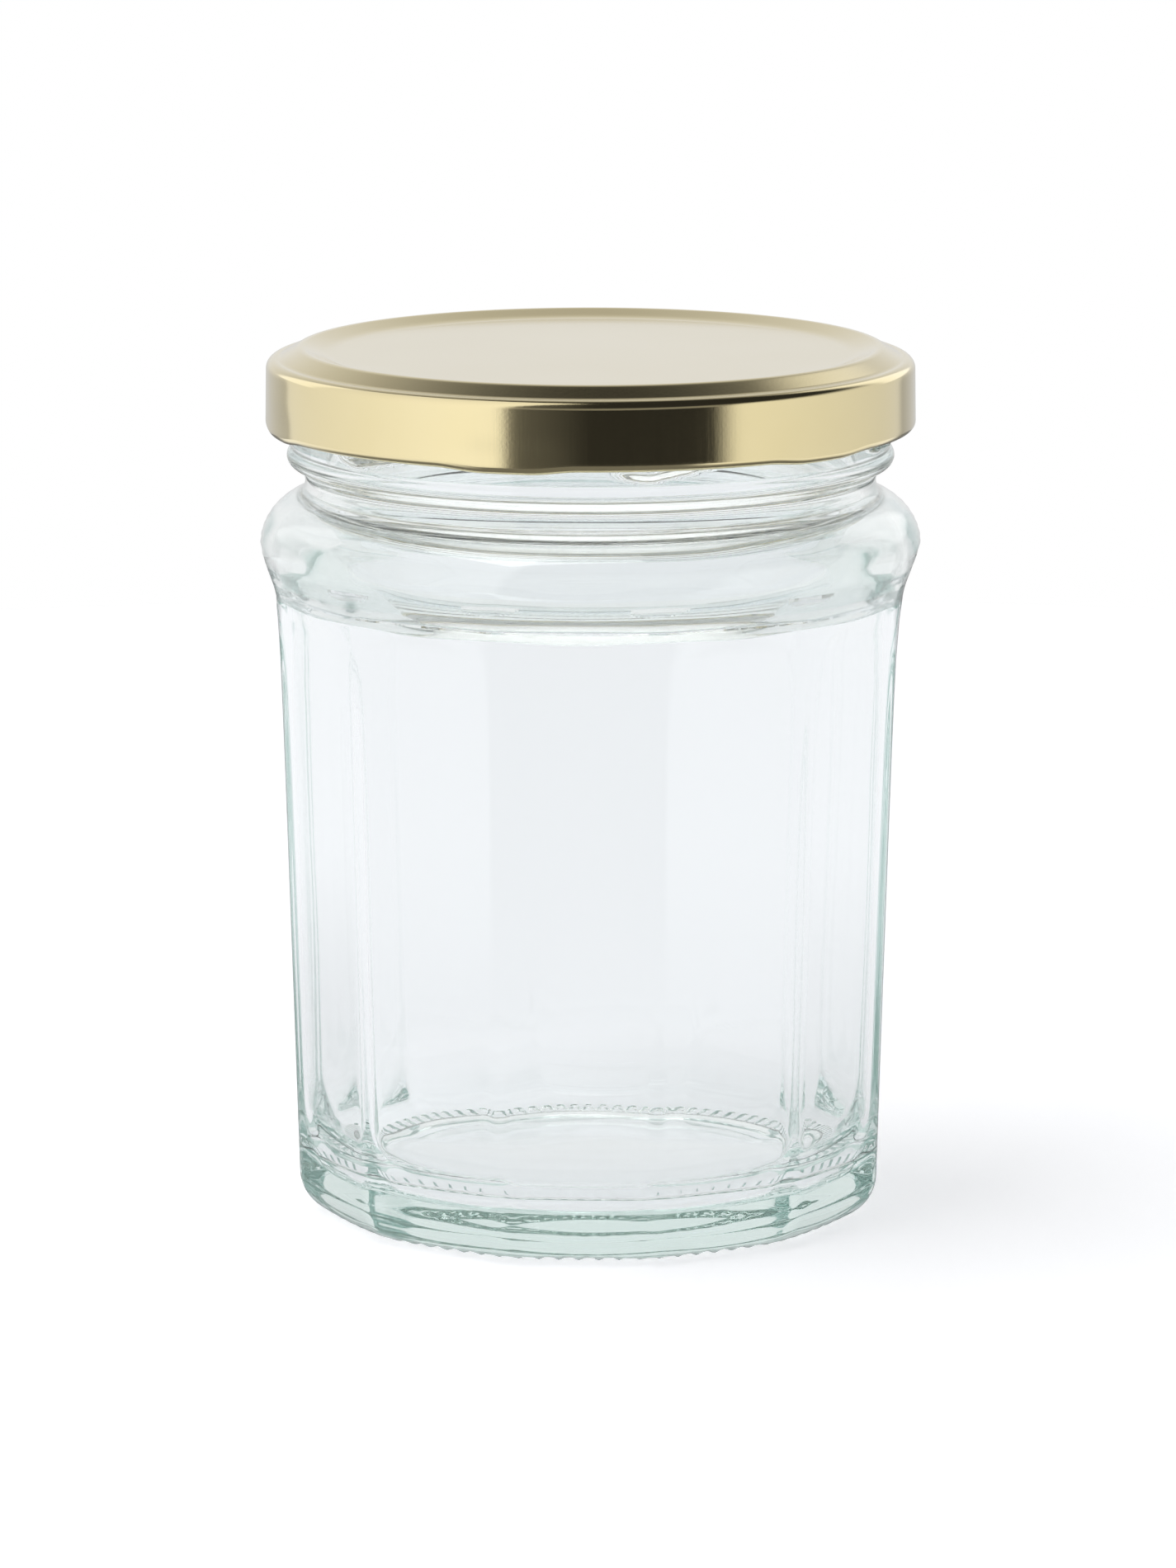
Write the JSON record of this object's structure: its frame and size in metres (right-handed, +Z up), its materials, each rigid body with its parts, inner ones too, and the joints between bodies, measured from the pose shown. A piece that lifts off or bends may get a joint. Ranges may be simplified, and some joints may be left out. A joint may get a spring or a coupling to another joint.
{
  "type": "jam jar",
  "caption": "Empty clear glass jam jar with flat-sided body, bulged shoulder and a closed gold twist-off metal lid.",
  "frame": {"origin": "middle of the flat ring that the jar stands on", "axes": "+Z up along the jar's axis, -Y out through the middle of one flat of the body"},
  "size_m": [0.0866, 0.0866, 0.1144],
  "materials": {
    "glass": "clear soda-lime glass with a faint blue-green tint, fire-polished",
    "lid_metal": "satin gold lacquer on tinplate",
    "sealing_compound": "matte off-white sealing compound"
  },
  "bodies": {
    "root": {"jar": "glass", "lid": "lid_metal", "lid_liner": "sealing_compound"}
  },
  "joints": []
}
